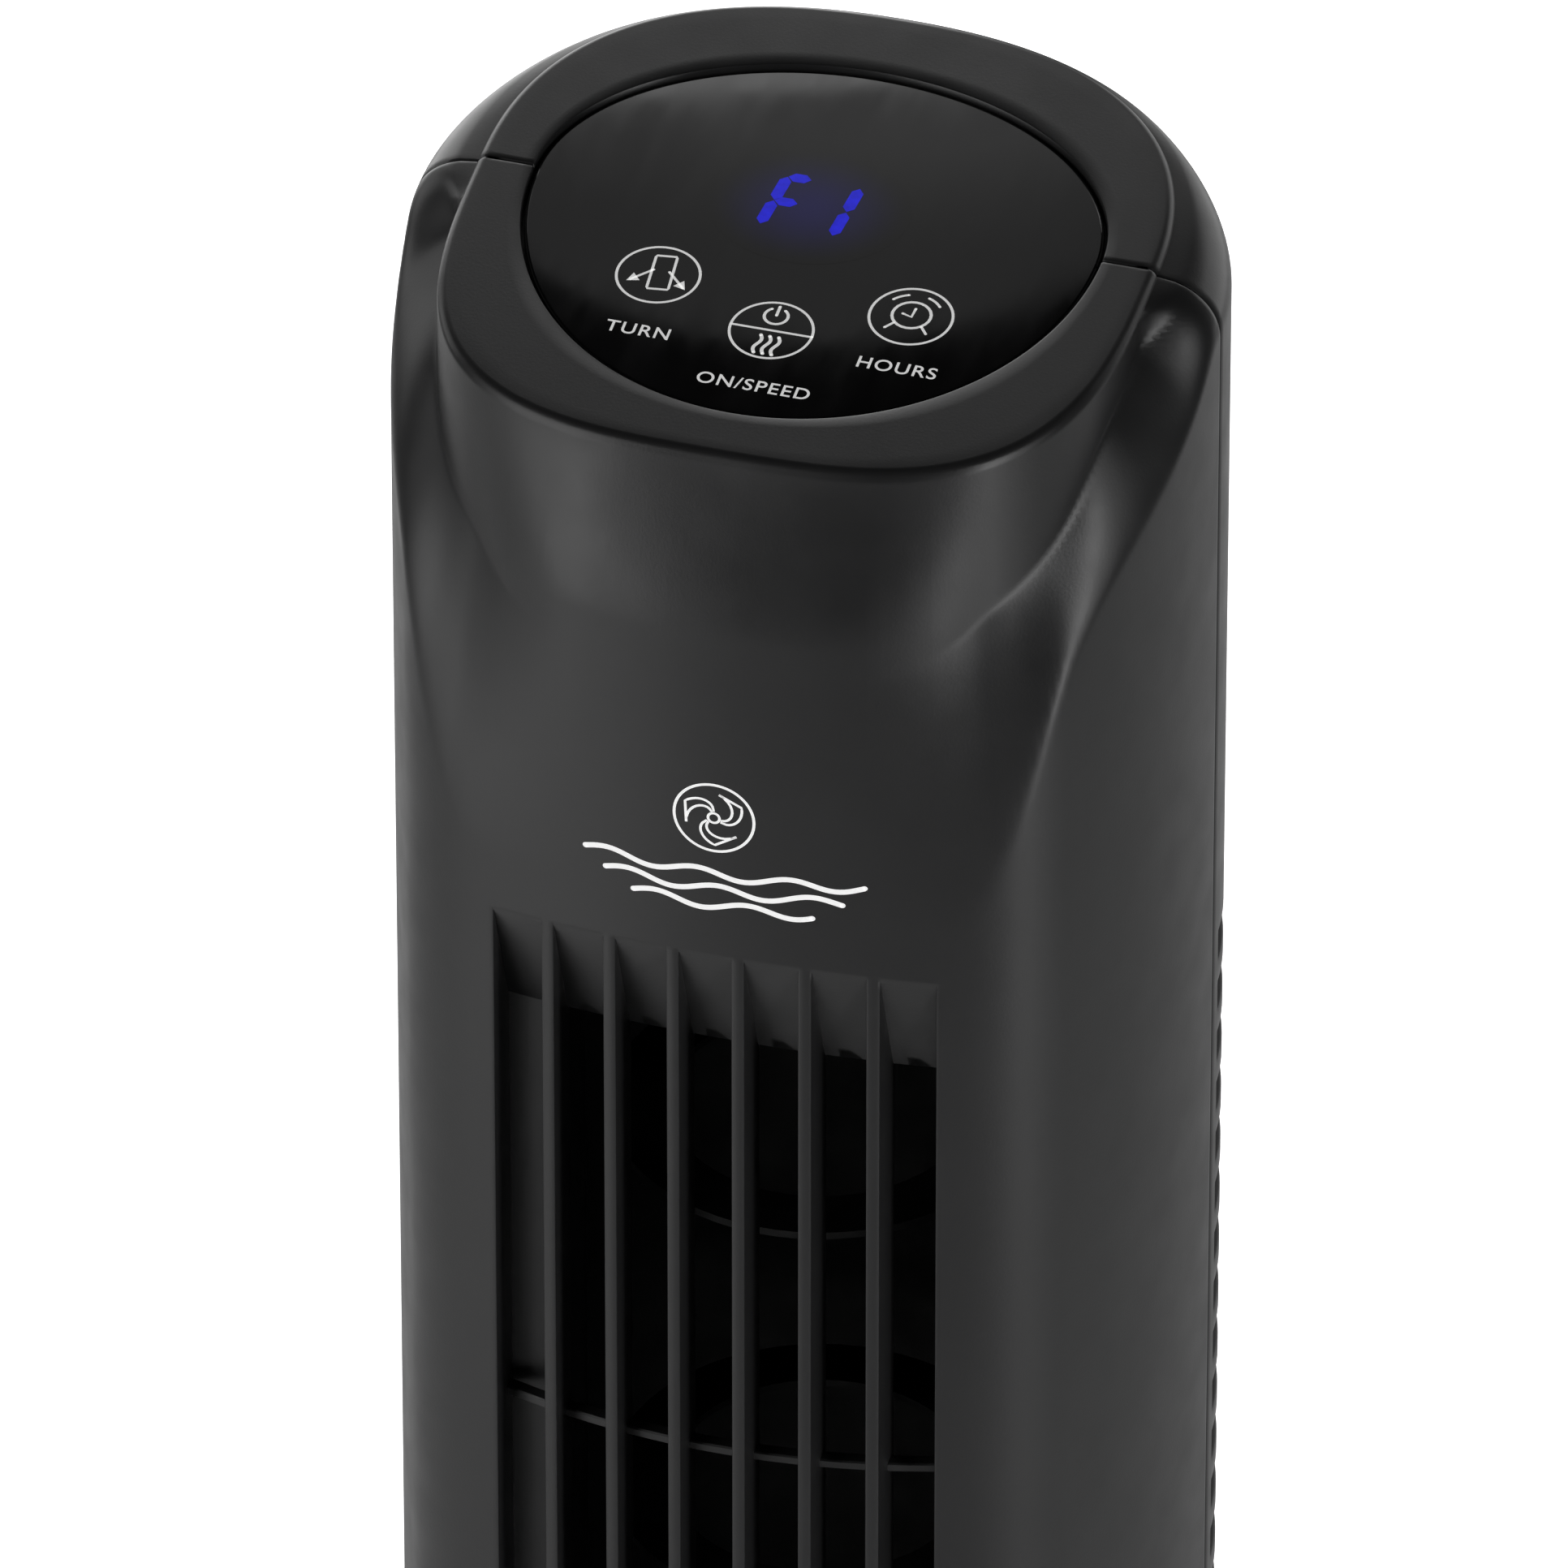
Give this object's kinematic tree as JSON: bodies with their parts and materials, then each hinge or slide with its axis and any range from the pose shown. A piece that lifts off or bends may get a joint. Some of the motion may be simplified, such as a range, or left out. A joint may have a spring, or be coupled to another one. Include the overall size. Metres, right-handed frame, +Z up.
{
  "type": "tower fan",
  "caption": "Charcoal tower fan: flat round base, swinging oval tower with a vertical-bar outlet grille, scooped shoulders, and a tilted top deck with an oval gloss touch panel and lit digits.",
  "frame": {"origin": "on the floor, under the axis the tower swings about, at the middle of the round base", "axes": "+Z up along the swing axis, -Y out of the front grille, +X to the right when the fan is seen from the front"},
  "size_m": [0.25, 0.2496, 0.78],
  "materials": {
    "shell_plastic": "fine spark-eroded matt texture, charcoal black",
    "gloss_lens": "polished black window, smoked and see-through only where digits are lit",
    "inner_plastic": "plain moulded black, unpolished",
    "duct_plastic": "plain moulded dark grey",
    "wheel_plastic": "plain moulded black, slightly shiny blades",
    "gear_plastic": "natural white acetal, waxy",
    "slide_plastic": "low-friction off-white ring, satin",
    "rubber": "matt black rubber",
    "screw_steel": "zinc plated, slightly dull",
    "screw_black": "black oxide",
    "shaft_steel": "ground bright steel",
    "motor_steel": "pressed zinc-plated sheet",
    "core_steel": "stacked laminations with red-brown windings",
    "base_steel": "black powder coat",
    "bronze": "sintered bronze, dull",
    "circuit_green": "green solder mask",
    "circuit_cream": "cream paper laminate board",
    "component_black": "moulded component bodies",
    "capacitor_case": "off-white box with resin fill",
    "display_blue": "dark face with lit blue segments",
    "screen_mesh": "fine woven black dust screen",
    "cable_grey": "grey ribbon cable"
  },
  "bodies": {
    "base": {"base_plate": "base_steel", "base_cover": "shell_plastic", "base_screws": "screw_steel", "rubber_feet": "rubber", "cord_gland": "rubber", "swivel_post": "inner_plastic", "post_screws": "screw_steel", "slide_ring": "slide_plastic", "fixed_gear": "gear_plastic", "retaining_ring": "motor_steel"},
    "tower": {"tower_floor": "inner_plastic", "floor_screws": "screw_black", "front_shell": "shell_plastic", "rear_shell": "shell_plastic", "inlet_screen": "screen_mesh", "shell_screws": "screw_black", "control_tray": "inner_plastic", "tray_screws": "screw_steel", "panel_lens": "gloss_lens", "display_board": "circuit_green", "board_screws": "screw_steel", "digit_display": "display_blue", "touch_springs": "shaft_steel", "display_cable": "cable_grey", "scroll_wall": "duct_plastic", "tongue_wall": "duct_plastic", "upper_duct_plate": "duct_plastic", "lower_duct_plate": "duct_plastic", "bearing_rubber": "rubber", "bearing_bush": "bronze", "motor_case": "motor_steel", "motor_stator": "core_steel", "motor_isolators": "rubber", "motor_screws": "screw_steel", "power_board": "circuit_cream", "power_components": "component_black", "run_capacitor": "capacitor_case", "swing_motor": "motor_steel", "swing_motor_screws": "screw_steel"},
    "wheel": {"impeller": "wheel_plastic", "impeller_pin": "shaft_steel", "hub_set_screw": "screw_black", "motor_rotor": "core_steel", "motor_shaft": "shaft_steel"},
    "pinion": {"swing_pinion": "gear_plastic", "swing_motor_shaft": "shaft_steel"}
  },
  "joints": [
    {"name": "tower_swing", "type": "hinge", "parent": "base", "child": "tower", "pos_m": [0, 0, 0.05], "axis": [0, 0, 1], "range_deg": [-35, 35]},
    {"name": "impeller_spin", "type": "hinge", "parent": "tower", "child": "wheel", "pos_m": [0, 0.01, 0.4], "axis": [0, 0, 1], "continuous": true},
    {"name": "pinion_spin", "type": "hinge", "parent": "tower", "child": "pinion", "pos_m": [0, 0.045, 0.065], "axis": [0, 0, 1], "range_deg": [-106, 106]}
  ],
  "couplings": [
    {"joint": "pinion_spin", "follows": "tower_swing", "ratio": 3}
  ]
}
